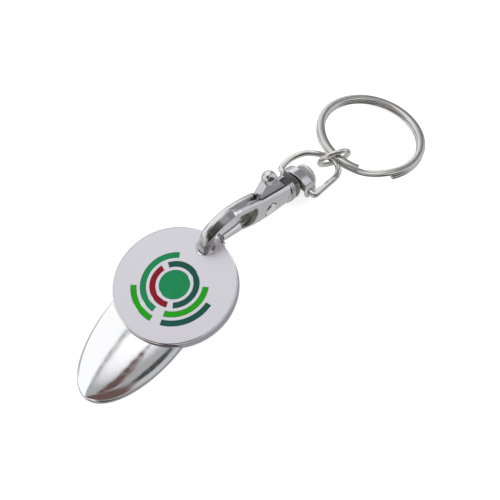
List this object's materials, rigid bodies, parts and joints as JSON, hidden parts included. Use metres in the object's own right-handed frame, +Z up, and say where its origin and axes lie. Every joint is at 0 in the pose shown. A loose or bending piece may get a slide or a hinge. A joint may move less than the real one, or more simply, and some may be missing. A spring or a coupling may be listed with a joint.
{
  "type": "trolley coin keyring",
  "caption": "Coin-sized trolley token with a tongue, clipped in a trigger snap hook with swivel, D-ring, jump ring and split ring for keys.",
  "frame": {"origin": "under the middle of the keyring, on the surface that it lies on", "axes": "+X along the chain from the token to the split ring, +Z up from the surface"},
  "size_m": [0.0868, 0.0252, 0.0147],
  "materials": {
    "satin_silver": "satin plated casting, tongue polished",
    "nickel": "polished nickel plate",
    "bright_steel": "nickel-plated steel wire",
    "spring_steel": "bare spring wire",
    "enamel_leaf_green": "soft enamel",
    "enamel_sea_green": "soft enamel",
    "enamel_bottle_green": "soft enamel",
    "enamel_wine_red": "soft enamel"
  },
  "bodies": {
    "hook": {"hook_body": "nickel", "lever_pivot_pin": "nickel", "lever_spring": "spring_steel", "swivel_rivet": "bright_steel"},
    "lever": {"gate_lever": "nickel"},
    "token": {"token_body": "satin_silver", "enamel_roundel": "enamel_sea_green", "enamel_inner_arc_short": "enamel_wine_red", "enamel_inner_arc_long": "enamel_bottle_green", "enamel_middle_arc_left": "enamel_sea_green", "enamel_middle_arc_right": "enamel_leaf_green", "enamel_outer_arc_left": "enamel_leaf_green", "enamel_outer_arc_right": "enamel_bottle_green"},
    "swivel": {"swivel_yoke": "nickel"},
    "d_ring": {"d_ring": "bright_steel"},
    "jump_ring": {"jump_ring": "bright_steel"},
    "split_ring": {"split_ring": "bright_steel"}
  },
  "joints": [
    {"name": "lever_pivot", "type": "hinge", "parent": "hook", "child": "lever", "pos_m": [0.00594, 0.00156, 0.00643], "axis": [0, 1, 0], "range_deg": [0, 18], "stiffness_Nm_per_rad": 0.03, "springref_deg": -17.19, "deforming": ["lever_spring"]},
    {"name": "token_hinge", "type": "hinge", "parent": "hook", "child": "token", "pos_m": [-0.00926, 0.00156, 0.00814], "axis": [0, 1, 0], "range_deg": [-17, 0]},
    {"name": "swivel_turn", "type": "hinge", "parent": "hook", "child": "swivel", "pos_m": [0.00612, 0.00156, 0.0069], "axis": [0.9323, 0, -0.3616], "continuous": true},
    {"name": "d_ring_hinge", "type": "hinge", "parent": "swivel", "child": "d_ring", "pos_m": [0.01535, 0.00156, 0.00331], "axis": [0, 1, 0], "range_deg": [-75, 75]},
    {"name": "jump_ring_hinge", "type": "hinge", "parent": "d_ring", "child": "jump_ring", "pos_m": [0.02429, -0.0005, 0.00289], "axis": [0, 1, 0], "range_deg": [-30, 30]},
    {"name": "split_ring_hinge", "type": "hinge", "parent": "jump_ring", "child": "split_ring", "pos_m": [0.02343, -0.0005, 0.00588], "axis": [0, 1, 0], "range_deg": [-20, 20]}
  ]
}
